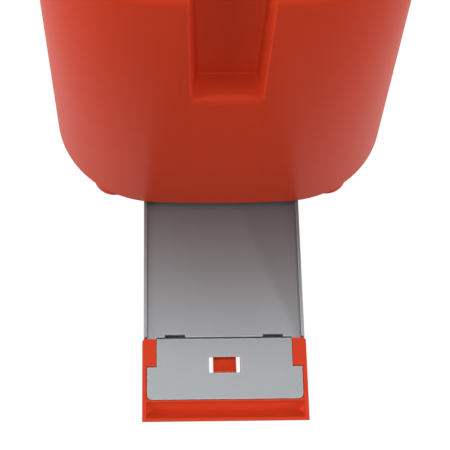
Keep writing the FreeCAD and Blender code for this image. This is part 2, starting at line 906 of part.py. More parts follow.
def make_magnet_coil():
    half = magnet_side / 2
    coil = box(-half, half, magnet_y - half, magnet_y + half, base_top + coil_foot, magnet_top - coil_head)
    core = magnet_core / 2
    return coil.cut(box(-core, core, magnet_y - core, magnet_y + core, base_top, magnet_top))


def make_control_board():
    return box(-board_half_width, board_half_width, board_y, board_y + board_sheet, board_low, board_top)


def make_board_brackets():
    brackets = []
    for side in (-1, 1):
        x = side * (board_half_width - board_bracket)
        upright = box(x - board_bracket / 2, x + board_bracket / 2, board_y - carriage_sheet, board_y,
                      base_top, board_low + board_bracket)
        foot = box(x - board_bracket / 2, x + board_bracket / 2, board_y - board_bracket, board_y,
                   base_top, base_top + carriage_sheet)
        brackets.append(upright.fuse(foot).removeSplitter())
    return Part.makeCompound(brackets)


def make_dial_body():
    half = dial_body_side / 2
    y0 = board_y + board_sheet
    case = box(-half, half, y0, y0 + dial_body_depth, dial_height - half, dial_height + half)
    return case.cut(rod_along_y(dial_shaft_radius, 0, dial_height, y0 - over, y0 + dial_body_depth + over))


def grip_outline(radius, y):
    # Broad lands with a shallow groove between each pair
    points = []
    for index in range(dial_grip_count):
        for share, depth in ((-0.5, 0), (0.2, 0), (0.35, dial_groove)):
            angle = 2 * math.pi * (index + share) / dial_grip_count
            reach = radius - depth
            points.append(V(reach * math.sin(angle), y, dial_height + reach * math.cos(angle)))
    return Part.makePolygon(points + [points[0]])


def dial_outline(radius, y, sides):
    angles = [2 * math.pi * step / sides for step in range(sides)]
    points = [V(radius * math.sin(angle), y, dial_height + radius * math.cos(angle)) for angle in angles]
    return Part.makePolygon(points + [points[0]])


def make_dial():
    # Knob with a wide round skirt, a fluted grip that tapers outwards and a pointer groove, on its own shaft
    face = body_length + dial_gap
    grip_radius = dial_radius - dial_skirt
    skirt_top = face + dial_skirt
    end = face + dial_reach
    rings = ((dial_radius, face), (dial_radius, skirt_top - dial_bevel), (dial_radius - dial_bevel, skirt_top))
    skirt = Part.makeLoft([dial_outline(radius, y, dial_sides) for radius, y in rings], True, True)
    stages = ((grip_radius, skirt_top), (grip_radius - dial_draft, end - dial_bevel),
              (grip_radius - dial_draft - dial_bevel, end))
    grip = Part.makeLoft([grip_outline(radius, y) for radius, y in stages], True, True)
    pointer = box(-pointer_half, pointer_half, end - pointer_depth, end + over,
                  dial_height + pointer_start, dial_height + dial_radius)
    shaft_end = board_y + board_sheet + dial_gap
    shaft_radius = dial_shaft_radius - rod_clearance
    shaft = Part.makeLoft([dial_outline(shaft_radius, y, shaft_sides) for y in (shaft_end, face)], True, True)
    return joined([skirt, grip, shaft]).cut(pointer)


def make_button(x):
    inside = body_length - wall - button_flange
    end = body_length + button_reach
    stages = [button_outline(0, x, inside), button_outline(0, x, end - button_edge), button_outline(-button_edge, x, end)]
    cap = Part.makeLoft(stages, True, True)
    flange_gap = x ** 2 / (2 * crown_radius) + button_width * abs(x) / crown_radius + flange_clearance
    half_flange = button_width / 2 + button_flange
    half_rise = button_thickness / 2 + button_flange
    flange = box(x - half_flange, x + half_flange, inside - flange_gap - button_flange,
                 body_length - wall - flange_gap, button_height - half_rise, button_height + half_rise)
    stem_end = board_y + board_sheet + switch_side / 2 + button_travel + switch_gap
    stem = box(x - button_stem_half, x + button_stem_half, stem_end, inside,
               button_height - button_stem_half, button_height + button_stem_half)
    return joined([cap, flange, stem])


def make_switches():
    half = switch_side / 2
    y0 = board_y + board_sheet
    return Part.makeCompound([box(x - half, x + half, y0, y0 + half, button_height - half, button_height + half)
                              for x in button_places])


# Write every piece

def write(name, shape):
    moved = shape.copy()
    moved.translate(V(0, origin_shift, 0))
    moved.exportStep("parts/" + name + ".step")


os.makedirs("parts", exist_ok=True)
guide_offset = slot_width / 2 + guide_gap + guide_bar / 2
element_offset = guide_offset + element_gap
write("housing", make_housing())
write("slot_deck", make_deck())
write("base", make_base())
write("feet", make_feet())
write("base_screws", make_base_screws())
write("cord_gland", make_cord_gland())
write("tray_rail_left", make_rail(-1))
write("tray_rail_right", make_rail(1))
write("tray_sheet", make_tray_sheet())
write("tray_handle", make_tray_handle())
write("frame_front", make_frame_front())
write("frame_rear", make_frame_rear())
write("reflector_left", make_reflector(-1))
write("reflector_right", make_reflector(1))
write("element_left", make_element(-slot_centre - element_offset))
write("element_centre", make_element(0))
write("element_right", make_element(slot_centre + element_offset))
write("guide_left_outer", make_guide(-slot_centre - guide_offset))
write("guide_left_inner", make_guide(-slot_centre + guide_offset))
write("guide_right_inner", make_guide(slot_centre - guide_offset))
write("guide_right_outer", make_guide(slot_centre + guide_offset))
write("guide_rod", make_guide_rod())
write("carriage", make_carriage())
write("lifter_left", make_lifter(-slot_centre))
write("lifter_right", make_lifter(slot_centre))
write("armature", make_armature())
write("lever_knob", make_lever_knob())
write("return_spring", make_spring())
write("magnet_core", make_magnet_core())
write("magnet_coil", make_magnet_coil())
write("control_board", make_control_board())
write("board_brackets", make_board_brackets())
write("dial_body", make_dial_body())
write("browning_dial", make_dial())
write("button_left", make_button(button_places[0]))
write("button_middle", make_button(button_places[1]))
write("button_right", make_button(button_places[2]))
write("button_switches", make_switches())
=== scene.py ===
import json
import math
import bmesh
import bpy
from mathutils import Matrix, Vector


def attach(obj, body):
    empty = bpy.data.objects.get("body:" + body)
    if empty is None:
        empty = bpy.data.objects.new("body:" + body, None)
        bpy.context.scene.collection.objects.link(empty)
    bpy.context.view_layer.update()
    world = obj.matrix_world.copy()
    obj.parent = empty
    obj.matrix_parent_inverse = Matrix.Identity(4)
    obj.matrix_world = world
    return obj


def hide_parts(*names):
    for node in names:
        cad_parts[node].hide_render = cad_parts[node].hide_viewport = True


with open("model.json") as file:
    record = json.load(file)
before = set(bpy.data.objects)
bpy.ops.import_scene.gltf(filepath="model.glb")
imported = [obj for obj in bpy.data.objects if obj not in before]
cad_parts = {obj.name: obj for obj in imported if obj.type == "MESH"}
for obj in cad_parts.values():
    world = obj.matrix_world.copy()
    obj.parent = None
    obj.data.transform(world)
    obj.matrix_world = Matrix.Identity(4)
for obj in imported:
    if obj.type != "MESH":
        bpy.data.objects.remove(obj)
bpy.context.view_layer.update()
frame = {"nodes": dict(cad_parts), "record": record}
record = frame["record"]
slot_of = {part["node"]: part["material_slot"] for part in record["subparts"]}
body_of = {node: body for body, nodes in record["behaviour"]["bodies"].items() for node in nodes}

# Sizes are in metres and angles in degrees. y starts at the wall of the tray end,
# and place() carries it into the frame.
shift = -0.0865

# Housing
half_width = 0.084
body_length = 0.270
body_height = 0.196
skirt_height = 0.0105
wall = 0.0026
corner_radius = 0.052
crown_radius = 0.720
top_edge = 0.009
skirt_edge = 0.0008
cavity_edge = 0.0065
lever_slit_half = 0.0018
lever_slit_low = 0.1192
lever_slit_high = 0.1828
dial_height = 0.054
dial_hole_height = 0.0072
dial_hole_width = 0.00721
button_height = 0.090
button_pitch = 0.027
window_width = 0.0198
window_height = 0.0098

# Finger channel in each end, with the ledge that it runs out over
channel_floor = 0.1155
channel_depth = 0.0125
channel_half_low = 0.0172
channel_half_high = 0.0190
channel_edge = 0.0015
channel_corner = 0.002
channel_lean = 12
channel_lining = 0.0015
ledge_edge = 0.004
ledge_corner = 0.001
ledge_slope = 15
lever_ledge_slope = 3
ledge_side_edge = 0.0012

# Hole in the housing's top for the slot deck
slot_middle = 0.120
deck_half_width = 0.047
deck_half_length = 0.083
deck_corner = 0.014
deck_rim_edge = 0.0012

# Crumb tray: its sheet, its hems, the fold's groove with two pockets and the bead under it
tray_top = 0.007
sheet = 0.0007
fold = -0.072
tray_half = 0.0393
tray_back = 0.128
tray_edge = 0.00018
lip_top = 0.009
hem_width = 0.0014
hem_sheet = 0.0007
hem_inset = 0.0002
hem_front_gap = 0.0006
hem_back_gap = 0.0004
flap_top = 0.0078
groove_half = 0.0331
groove_reach = 0.00095
pocket_inner = 0.0190
pocket_outer = 0.0290
pocket_reach = 0.0025
bead_wall = 0.0003
bead_lap = 0.00005
bead_under = 0.0027
bead_floor = 0.0030

# Tray handle: its frame, measured forward from the fold, and its trough
handle_front = -0.114
handle_top = 0.0082
handle_low = 0.0038
handle_half = 0.040
handle_edge = 0.00012
handle_back_gap = 0.0001
handle_back_corner = 0.0016
front_edge_height = 0.0009
chin_run = 0.00548
chin_low = 0.0026
chin_length = 0.0114
tab_inner = 0.0333
tab_room_front = 0.0200
step_front = 0.0008
step_low = 0.0062
flap_half = 0.0380
flap_room_back = 0.0143
flap_room_front = 0.0315
flap_corner = 0.0028
trough_half = 0.0381
trough_corner = 0.0034
trough_bed_y = -0.1073
trough_bed_z = 0.0039
trough_back = -0.1044
trough_back_low = 0.0073
trough_front_rim = 0.0014
trough_front_lean = 1.167

# Sprung tongue of the handle and the catch at its tip
latch_hole_back = 0.0096
tongue_half = 0.0056
tongue_slit_ratio = 1.357
tongue_slit_length = 0.0150
tongue_slit_end = 0.0020
tongue_tip = 0.0012
tongue_tip_half = 0.0060
catch_length = 0.0079
catch_gap = 0.0003
catch_rise = 0.0002
catch_seat = 0.001
scoop_radius = 0.0152
scoop_low = 0.0054
scoop_half = 0.0058
scoop_turn = 36.5

# Steps round an arc
corner_steps = 22
crown_steps = 12
pill_steps = 16
deck_steps = 10

# Points this close are merged or count as level, faces this flat become one, edges past
# hard_angle get eased, edges past square_angle are a form's square corners
merge_gap = 2e-6
level_gap = 1e-5
flat_angle = 1
hard_angle = 30
eased_sharp_angle = 40
square_angle = 60


def place(x, y, z):
    # Point with y from the tray end's wall, carried into the frame
    return Vector((x, y + shift, z))


# Materials

looks = {}


def socket(group, name, kind, in_out, value=None):
    item = group.interface.new_socket(name=name, in_out=in_out, socket_type=kind)
    if value is not None:
        item.default_value = value
    return item


def add_node(tree, kind, **settings):
    made = tree.nodes.new(kind)
    for key, value in settings.items():
        setattr(made, key, value)
    return made


def fine_grain():
    # Moulded or rolled surface: small bumps, slow colour change, uneven gloss
    group = bpy.data.node_groups.new("fine_grain", "ShaderNodeTree")
    socket(group, "Grain Scale", "NodeSocketFloat", "INPUT", 900.0)
    socket(group, "Stretch", "NodeSocketVector", "INPUT", (1.0, 1.0, 1.0))
    socket(group, "Cloud Scale", "NodeSocketFloat", "INPUT", 14.0)
    socket(group, "Grain", "NodeSocketFloat", "OUTPUT")
    socket(group, "Cloud", "NodeSocketFloat", "OUTPUT")
    source = add_node(group, "NodeGroupInput")
    target = add_node(group, "NodeGroupOutput")
    coordinate = add_node(group, "ShaderNodeTexCoord")
    stretch = add_node(group, "ShaderNodeVectorMath", operation="MULTIPLY")
    grain = add_node(group, "ShaderNodeTexNoise")
    cloud = add_node(group, "ShaderNodeTexNoise")
    grain.inputs["Detail"].default_value = 3.0
    cloud.inputs["Detail"].default_value = 4.0
    cloud.inputs["Roughness"].default_value = 0.6
    link = group.links.new
    link(coordinate.outputs["Object"], stretch.inputs[0])
    link(source.outputs["Stretch"], stretch.inputs[1])
    link(stretch.outputs["Vector"], grain.inputs["Vector"])
    link(source.outputs["Grain Scale"], grain.inputs["Scale"])
    link(coordinate.outputs["Object"], cloud.inputs["Vector"])
    link(source.outputs["Cloud Scale"], cloud.inputs["Scale"])
    link(grain.outputs["Fac"], target.inputs["Grain"])
    link(cloud.outputs["Fac"], target.inputs["Cloud"])
    return group


def edge_wear():
    # Where rounded normals part from the true ones, an edge has been rubbed
    group = bpy.data.node_groups.new("edge_wear", "ShaderNodeTree")
    socket(group, "Reach", "NodeSocketFloat", "INPUT", 0.0012)
    socket(group, "Breakup Scale", "NodeSocketFloat", "INPUT", 160.0)
    socket(group, "Wear", "NodeSocketFloat", "OUTPUT")
    source = add_node(group, "NodeGroupInput")
    target = add_node(group, "NodeGroupOutput")
    rounded = add_node(group, "ShaderNodeBevel", samples=6)
    geometry = add_node(group, "ShaderNodeNewGeometry")
    facing = add_node(group, "ShaderNodeVectorMath", operation="DOT_PRODUCT")
    spread = add_node(group, "ShaderNodeMapRange")
    spread.inputs["From Min"].default_value = 0.995
    spread.inputs["From Max"].default_value = 0.90
    coordinate = add_node(group, "ShaderNodeTexCoord")
    breakup = add_node(group, "ShaderNodeTexNoise")
    product = add_node(group, "ShaderNodeMath", operation="MULTIPLY")
    link = group.links.new
    link(source.outputs["Reach"], rounded.inputs["Radius"])
    link(rounded.outputs["Normal"], facing.inputs[0])
    link(geometry.outputs["Normal"], facing.inputs[1])
    link(facing.outputs["Value"], spread.inputs["Value"])
    link(coordinate.outputs["Object"], breakup.inputs["Vector"])
    link(source.outputs["Breakup Scale"], breakup.inputs["Scale"])
    link(spread.outputs["Result"], product.inputs[0])
    link(breakup.outputs["Fac"], product.inputs[1])
    link(product.outputs["Value"], target.inputs["Wear"])
    return group


grain_group = fine_grain()
wear_group = edge_wear()


def surface(name, dark, light, worn, roughness, metallic=0.0, grain=900.0, stretch=(1, 1, 1),
            cloud=14.0, bump=0.00002, rough_spread=0.08, reach=0.0012, wear=0.5, specular=0.5):
    # One finish: two close tones in clouds, a worn tone at the edges, grain in gloss and height
    material = bpy.data.materials.new(name)
    material.use_nodes = True
    tree = material.node_tree
    tree.nodes.clear()
    output = add_node(tree, "ShaderNodeOutputMaterial")
    shader = add_node(tree, "ShaderNodeBsdfPrincipled")
    shader.inputs["Metallic"].default_value = metallic
    shader.inputs["Specular IOR Level"].default_value = specular
    texture = add_node(tree, "ShaderNodeGroup", node_tree=grain_group)
    texture.inputs["Grain Scale"].default_value = grain
    texture.inputs["Stretch"].default_value = stretch
    texture.inputs["Cloud Scale"].default_value = cloud
    rubbed = add_node(tree, "ShaderNodeGroup", node_tree=wear_group)
    rubbed.inputs["Reach"].default_value = reach
    tone = add_node(tree, "ShaderNodeMix", data_type="RGBA")
    tone.inputs["A"].default_value = (*dark, 1)
    tone.inputs["B"].default_value = (*light, 1)
    edge = add_node(tree, "ShaderNodeMix", data_type="RGBA")
    edge.inputs["B"].default_value = (*worn, 1)
    amount = add_node(tree, "ShaderNodeMath", operation="MULTIPLY")
    amount.inputs[1].default_value = wear
    gloss = add_node(tree, "ShaderNodeMapRange")
    gloss.inputs["To Min"].default_value = roughness - rough_spread
    gloss.inputs["To Max"].default_value = roughness + rough_spread
    height = add_node(tree, "ShaderNodeBump")
    height.inputs["Distance"].default_value = bump
    height.inputs["Strength"].default_value = 1.0
    link = tree.links.new
    link(texture.outputs["Cloud"], tone.inputs["Factor"])
    link(tone.outputs["Result"], edge.inputs["A"])
    link(rubbed.outputs["Wear"], amount.inputs[0])
    link(amount.outputs["Value"], edge.inputs["Factor"])
    link(edge.outputs["Result"], shader.inputs["Base Color"])
    link(texture.outputs["Grain"], gloss.inputs["Value"])
    link(gloss.outputs["Result"], shader.inputs["Roughness"])
    link(texture.outputs["Grain"], height.inputs["Height"])
    link(height.outputs["Normal"], shader.inputs["Normal"])
    link(shader.outputs["BSDF"], output.inputs["Surface"])
    looks[name] = material
    return material


def paint(red, green, blue):
    # Screen colour of 0 to 255 as a linear one
    def linear(value):
        return value / 12.92 if value <= 0.04045 else ((value + 0.055) / 1.055) ** 2.4
    return tuple(linear(value / 255) for value in (red, green, blue))


surface("orange_plastic", paint(195, 56, 27), paint(201, 60, 31), paint(222, 98, 70), 0.42,
        grain=1500.0, cloud=9.0, bump=0.000012, rough_spread=0.06, wear=0.3, specular=0.05)
surface("tray_metal", paint(114, 118, 120), paint(121, 125, 127), paint(180, 183, 186), 0.42,
        metallic=0.6, grain=900.0, stretch=(1.0, 0.35, 1.0), cloud=16.0, bump=0.000004,
        rough_spread=0.05, wear=0.6, specular=0.4)
surface("brushed_steel", paint(146, 146, 148), paint(158, 158, 160), paint(190, 190, 190), 0.40,
        metallic=0.9, grain=900.0, stretch=(1.0, 0.04, 1.0), cloud=18.0, bump=0.000006,
        rough_spread=0.10, wear=0.4)
surface("galvanised_steel", paint(150, 154, 158), paint(178, 181, 184), paint(195, 195, 195), 0.38,
        metallic=0.95, grain=140.0, cloud=60.0, bump=0.000008, rough_spread=0.12, wear=0.4)
surface("zinc_steel", paint(186, 187, 188), paint(200, 200, 198), paint(225, 225, 222), 0.24,
        metallic=1.0, grain=500.0, cloud=30.0, bump=0.000004, wear=0.5)
surface("guide_wire", paint(170, 170, 168), paint(190, 189, 186), paint(210, 210, 208), 0.30,
        metallic=1.0, grain=700.0, cloud=25.0, bump=0.000004, wear=0.4)
surface("mica", paint(160, 152, 134), paint(190, 182, 164), paint(205, 199, 184), 0.42,
        grain=320.0, cloud=45.0, bump=0.000015, rough_spread=0.14, wear=0.5)
surface("copper_coil", paint(150, 78, 36), paint(176, 98, 50), paint(196, 120, 70), 0.34,
        metallic=0.9, grain=700.0, stretch=(0.05, 0.05, 1.6), cloud=20.0, bump=0.00012, wear=0.3)
surface("circuit_board", paint(24, 72, 40), paint(34, 88, 50), paint(120, 130, 90), 0.40,
        grain=260.0, cloud=60.0, bump=0.000012, wear=0.4)
surface("black_plastic", paint(26, 26, 27), paint(34, 34, 35), paint(70, 70, 70), 0.48,
        grain=1200.0, wear=0.4)
surface("grey_plastic", paint(64, 65, 68), paint(72, 73, 76), paint(110, 110, 112), 0.42,
        grain=1200.0, wear=0.5)
surface("rubber", paint(24, 24, 24), paint(32, 32, 32), paint(60, 58, 56), 0.66,
        grain=900.0, bump=0.00003, wear=0.4)


# Mesh helpers

def turn(bm, vert, centre, angle, steps, axis=(0, 0, 1)):
    # Carries the last point round a centre, leaving the arc behind it
    made = bmesh.ops.spin(bm, geom=[vert], cent=centre, axis=axis, angle=math.radians(angle),
                          steps=steps, use_duplicate=False)
    return [item for item in made["geom_last"] if isinstance(item, bmesh.types.BMVert)][0]


def go(bm, vert, point):
    # Straight edge on to the next point
    made = bm.verts.new(point)
    bm.edges.new((vert, made))
    return made


def join_ends(bm):
    # Straight edge from the last point made back to the first
    bm.verts.ensure_lookup_table()
    bm.edges.new((bm.verts[0], bm.verts[len(bm.verts) - 1]))


def close_face(bm):
    # The closed outline as one face
    bmesh.ops.remove_doubles(bm, verts=bm.verts, dist=1e-6)
    return bmesh.ops.contextual_create(bm, geom=bm.edges[:])["faces"][0]


def raise_face(bm, face, step):
    # Draws the face out into a solid and gives back the points of its far end
    made = bmesh.ops.extrude_face_region(bm, geom=[face])["geom"]
    verts = [item for item in made if isinstance(item, bmesh.types.BMVert)]
    bmesh.ops.translate(bm, verts=verts, vec=step)
    bmesh.ops.recalc_face_normals(bm, faces=bm.faces)
    return verts


def soften(bm, edges, width, segments, clamp=True):
    bmesh.ops.bevel(bm, geom=edges, offset=width, offset_type="OFFSET", segments=segments,
                    profile=0.5, affect="EDGES", material=-1, clamp_overlap=clamp)


def edges_where(bm, test):
    return [edge for edge in bm.edges if all(test(vert.co) for vert in edge.verts)]


def join_flat_faces(bm):
    bmesh.ops.dissolve_limit(bm, angle_limit=math.radians(flat_angle), verts=bm.verts,
                             edges=bm.edges)


def finish_mesh(name, bm, sharp=35):
    mesh = bpy.data.meshes.new(name)
    bm.to_mesh(mesh)
    bm.free()
    mesh.shade_smooth()
    mesh.set_sharp_from_angle(angle=math.radians(sharp))
    piece = bpy.data.objects.new(name, mesh)
    bpy.context.scene.collection.objects.link(piece)
    return piece


def settle(piece):
    # Keeps what the piece's modifiers make as its own mesh
    graph = bpy.context.evaluated_depsgraph_get()
    mesh = bpy.data.meshes.new_from_object(piece.evaluated_get(graph))
    piece.modifiers.clear()
    old = piece.data
    piece.data = mesh
    bpy.data.meshes.remove(old)


def carve(piece, tools, operation="DIFFERENCE"):
    # Cuts the tools out of the piece, joins them to it or keeps what they share
    for tool in tools:
        cut = piece.modifiers.new("cut", "BOOLEAN")
        cut.operation = operation
        cut.solver = "EXACT"
        cut.object = tool
        settle(piece)
        bpy.data.objects.remove(tool)
    return piece


def even_shading(piece):
    # Flat faces stay flat beside their rounded edges
    weighted = piece.modifiers.new("even_shading", "WEIGHTED_NORMAL")
    weighted.keep_sharp = True
    settle(piece)


def block(name, low, high, edge=0.0, segments=3):
    # Square block between two opposite corners
    bm = bmesh.new()
    bmesh.ops.create_cube(bm, size=1.0)
    size = high - low
    bmesh.ops.scale(bm, verts=bm.verts, vec=size)
    bmesh.ops.translate(bm, verts=bm.verts, vec=(low + high) / 2)
    if edge:
        soften(bm, bm.edges[:], edge, segments)
    return finish_mesh(name, bm)


def prism(name, corners, step):
    # Straight-edged outline drawn out by one step
    bm = bmesh.new()
    first = vert = bm.verts.new(corners[0])
    for corner in corners[1:]:
        vert = go(bm, vert, corner)
    bm.edges.new((vert, first))
    raise_face(bm, close_face(bm), step)
    return finish_mesh(name, bm)


def rework(piece, change):
    # Opens a piece's mesh for more work
    bm = bmesh.new()
    bm.from_mesh(piece.data)
    change(bm)
    bm.to_mesh(piece.data)
    bm.free()
    return piece


def mirrored(piece):
    # Moves a form of the tray end to the lever end
    def flip(bm):
        middle = place(0, body_length / 2, 0)
        bmesh.ops.translate(bm, verts=bm.verts, vec=-middle)
        bmesh.ops.scale(bm, verts=bm.verts, vec=(1, -1, 1))
        bmesh.ops.translate(bm, verts=bm.verts, vec=middle)
        bmesh.ops.reverse_faces(bm, faces=bm.faces)
    return rework(piece, flip)


def dress(piece, body, slot):
    # Gives a piece its finish and the body that it rides on
    piece.data.materials.clear()
    piece.data.materials.append(looks[slot])
    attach(piece, body)
    return piece


def ease_edges(piece, width, segments, clamp=True):
    # Rounds every hard outer edge; clamp narrows them all where one is too short for it
    def ease(bm):
        bmesh.ops.remove_doubles(bm, verts=bm.verts, dist=merge_gap)
        join_flat_faces(bm)
        hard = [edge for edge in bm.edges if len(edge.link_faces) == 2 and edge.is_convex
                and edge.calc_face_angle(0) > math.radians(hard_angle)]
        soften(bm, hard, width, segments, clamp)
        if not clamp:
            bmesh.ops.dissolve_degenerate(bm, dist=merge_gap, edges=bm.edges)
    rework(piece, ease)
    piece.data.shade_smooth()
    piece.data.set_sharp_from_angle(angle=math.radians(eased_sharp_angle))
    even_shading(piece)


def copy_of(node):
    # A CAD node's own form, merged, as a new piece
    bm = bmesh.new()
    bm.from_mesh(frame["nodes"][node].data)
    bmesh.ops.remove_doubles(bm, verts=bm.verts, dist=merge_gap)
    join_flat_faces(bm)
    return finish_mesh(node + "_eased", bm, eased_sharp_angle)


def softened(node, width, segments=2):
    # A CAD node's own form with its hard edges eased
    piece = copy_of(node)
    ease_edges(piece, width, segments)
    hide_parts(node)
    return dress(piece, body_of[node], slot_of[node])


# Housing

corner_x = half_width - corner_radius
corner_y = crown_radius - math.sqrt((crown_radius - corner_radius) ** 2 - corner_x ** 2)
crown_turn = math.degrees(math.asin(corner_x / (crown_radius - corner_radius)))


def plan_outline(bm, inset, z):
    # Round corners and crowned ends, run once round from the right side
    corner_turn = 90 - crown_turn
    far = body_length - corner_y
    vert = bm.verts.new(place(half_width - inset, corner_y, z))
    vert = go(bm, vert, place(half_width - inset, far, z))
    vert = turn(bm, vert, place(corner_x, far, z), corner_turn, corner_steps)
    vert = turn(bm, vert, place(0, body_length - crown_radius, z), 2 * crown_turn, crown_steps)
    vert = turn(bm, vert, place(-corner_x, far, z), corner_turn, corner_steps)
    vert = go(bm, vert, place(inset - half_width, corner_y, z))
    vert = turn(bm, vert, place(-corner_x, corner_y, z), corner_turn, corner_steps)
    vert = turn(bm, vert, place(0, crown_radius, z), 2 * crown_turn, crown_steps)
    turn(bm, vert, place(corner_x, corner_y, z), corner_turn, corner_steps)
    return close_face(bm)


def plan_form(name, inset, low, high, top_round, foot_round, segments):
    # The plan drawn up, with a round upper edge and, where it has one, a small round at its foot
    bm = bmesh.new()
    raise_face(bm, plan_outline(bm, inset, low), Vector((0, 0, high - low)))
    soften(bm, edges_where(bm, lambda co: co.z > high - level_gap), top_round, segments)
    if foot_round:
        soften(bm, edges_where(bm, lambda co: co.z < low + level_gap), foot_round, 2)
    return finish_mesh(name, bm)


def channel_shaft():
    # Plan of the channel with its leaning sides, drawn up and widened towards the top
    start_y = -0.006
    edge_steps, back_steps = 6, 5
    low = channel_floor - 2 * ledge_edge
    high = body_height + top_edge
    rate = (channel_half_high - channel_half_low) / (body_height - channel_floor)
    outer = channel_half_low - rate * 2 * ledge_edge
    mouth = outer ** 2 / (2 * crown_radius)
    lean = math.radians(channel_lean)
    edge, back = channel_edge, channel_corner
    side_x = outer - edge * math.cos(lean)
    side_y = mouth + edge - edge * math.sin(lean)
    back_y = channel_depth - back + back * math.sin(lean)
    back_x = side_x - (back_y - side_y) * math.tan(lean)
    centre = back_x - back * math.cos(lean)
    swing = 90 - channel_lean
    bm = bmesh.new()
    vert = bm.verts.new(place(-outer, start_y, low))
    vert = go(bm, vert, place(outer, start_y, low))
    vert = go(bm, vert, place(outer, mouth, low))
    vert = turn(bm, vert, place(outer, mouth + edge, low), -swing, edge_steps)
    vert = go(bm, vert, place(back_x, back_y, low))
    vert = turn(bm, vert, place(centre, channel_depth - back, low), swing, back_steps)
    vert = go(bm, vert, place(-centre, channel_depth, low))
    vert = turn(bm, vert, place(-centre, channel_depth - back, low), swing, back_steps)
    vert = go(bm, vert, place(-side_x, side_y, low))
    turn(bm, vert, place(-outer, mouth + edge, low), -swing, edge_steps)
    top = raise_face(bm, close_face(bm), Vector((0, 0, high - low)))
    wider = rate * (high - low)
    for vert in top:
        vert.co.x += math.copysign(wider, vert.co.x)
    return finish_mesh("channel_shaft", bm)


def ledge_side(slope_angle):
    # Space over the ledge in side view: round front edge, gentle rise, tight back corner
    start_y = -0.012
    front_steps, back_steps = 8, 4
    high = body_height + top_edge
    mouth = channel_half_low ** 2 / (2 * crown_radius)
    front, back = ledge_edge, ledge_corner
    slope = math.radians(slope_angle)
    swing = 90 - slope_angle
    rise_y = mouth + front - front * math.sin(slope)
    rise_z = channel_floor - front + front * math.cos(slope)
    end_y = channel_depth - back + back * math.sin(slope)
    end_z = rise_z + (end_y - rise_y) * math.tan(slope)
    corner_z = end_z + back * math.cos(slope)
    x = -half_width
    bm = bmesh.new()
    vert = bm.verts.new(place(x, start_y, high))
    vert = go(bm, vert, place(x, start_y, channel_floor - front))
    vert = go(bm, vert, place(x, mouth, channel_floor - front))
    vert = turn(bm, vert, place(x, mouth + front, channel_floor - front), -swing, front_steps,
                axis=(1, 0, 0))
    vert = go(bm, vert, place(x, end_y, end_z))
    vert = turn(bm, vert, place(x, channel_depth - back, corner_z), swing, back_steps,
                axis=(1, 0, 0))
    vert = go(bm, vert, place(x, channel_depth + wall, corner_z))
    go(bm, vert, place(x, channel_depth + wall, high))
    join_ends(bm)
    raise_face(bm, close_face(bm), Vector((2 * half_width, 0, 0)))
    return finish_mesh("ledge_side", bm)


def channel_tool(slope_angle):
    # The channel's space down to its ledge, with the ledge's two side edges rounded
    tool = carve(channel_shaft(), [ledge_side(slope_angle)], "INTERSECT")
    ledge_rise, ledge_spread = 0.001, 0.0024
    side_near, side_far, side_length = 0.010, 0.0165, 0.003

    def beside_ledge(co):
        return (abs(co.z - channel_floor - ledge_rise) < ledge_spread
                and side_near < abs(co.x) < side_far)

    def ease_floor(bm):
        join_flat_faces(bm)
        sides = [edge for edge in edges_where(bm, beside_ledge)
                 if abs(edge.verts[0].co.y - edge.verts[1].co.y) > side_length]
        soften(bm, sides, ledge_side_edge, 4)
    return rework(tool, ease_floor)


def pill(name, x, z, width, height, y0, y1):
    # Bar through an end wall with round ends left and right
    bm = bmesh.new()
    r = height / 2
    left, right = x - width / 2 + r, x + width / 2 - r
    vert = bm.verts.new(place(left, y0, z - r))
    vert = go(bm, vert, place(right, y0, z - r))
    vert = turn(bm, vert, place(right, y0, z), -180, pill_steps, axis=(0, 1, 0))
    vert = go(bm, vert, place(left, y0, z + r))
    turn(bm, vert, place(left, y0, z), -180, pill_steps, axis=(0, 1, 0))
    raise_face(bm, close_face(bm), Vector((0, y1 - y0, 0)))
    return finish_mesh(name, bm)


def deck_hole(name, low, high):
    # Upright through the top, with round corners
    bm = bmesh.new()
    a, b, r = deck_half_width, deck_half_length, deck_corner
    vert = bm.verts.new(place(a, slot_middle - b + r, low))
    vert = go(bm, vert, place(a, slot_middle + b - r, low))
    vert = turn(bm, vert, place(a - r, slot_middle + b - r, low), 90, deck_steps)
    vert = go(bm, vert, place(-a + r, slot_middle + b, low))
    vert = turn(bm, vert, place(-a + r, slot_middle + b - r, low), 90, deck_steps)
    vert = go(bm, vert, place(-a, slot_middle - b + r, low))
    vert = turn(bm, vert, place(-a + r, slot_middle - b + r, low), 90, deck_steps)
    vert = go(bm, vert, place(a - r, slot_middle - b, low))
    turn(bm, vert, place(a - r, slot_middle - b + r, low), 90, deck_steps)
    raise_face(bm, close_face(bm), Vector((0, 0, high - low)))
    return finish_mesh(name, bm)


def housing_cavity():
    # Inside of the moulding, less the lining that stands round each channel
    cavity = plan_form("cavity", wall, skirt_height - wall, body_height - wall, cavity_edge, 0, 4)
    half = channel_half_high + channel_lining
    low = channel_floor - wall
    linings = [block("lining_tray_end", place(-half, -wall, low),
                     place(half, channel_depth + wall, body_height)),
               block("lining_lever_end", place(-half, body_length - channel_depth - wall, low),
                     place(half, body_length + wall, body_height))]
    return carve(cavity, linings)


def lever_end_holes():
    # Slit for the lever, round hole for the dial, a window for each button
    inside, outside = body_length - 3 * wall, body_length + wall
    slit = block("lever_slit",
                 place(-lever_slit_half, body_length - channel_depth - 2 * wall, lever_slit_low),
                 place(lever_slit_half, body_length, lever_slit_high))
    round_hole = pill("dial_hole", 0, dial_height, dial_hole_width, dial_hole_height,
                      inside, outside)
    windows = [pill("button_window", step * button_pitch, button_height, window_width,
                    window_height, inside, outside) for step in (-1, 0, 1)]
    return [slit, round_hole] + windows


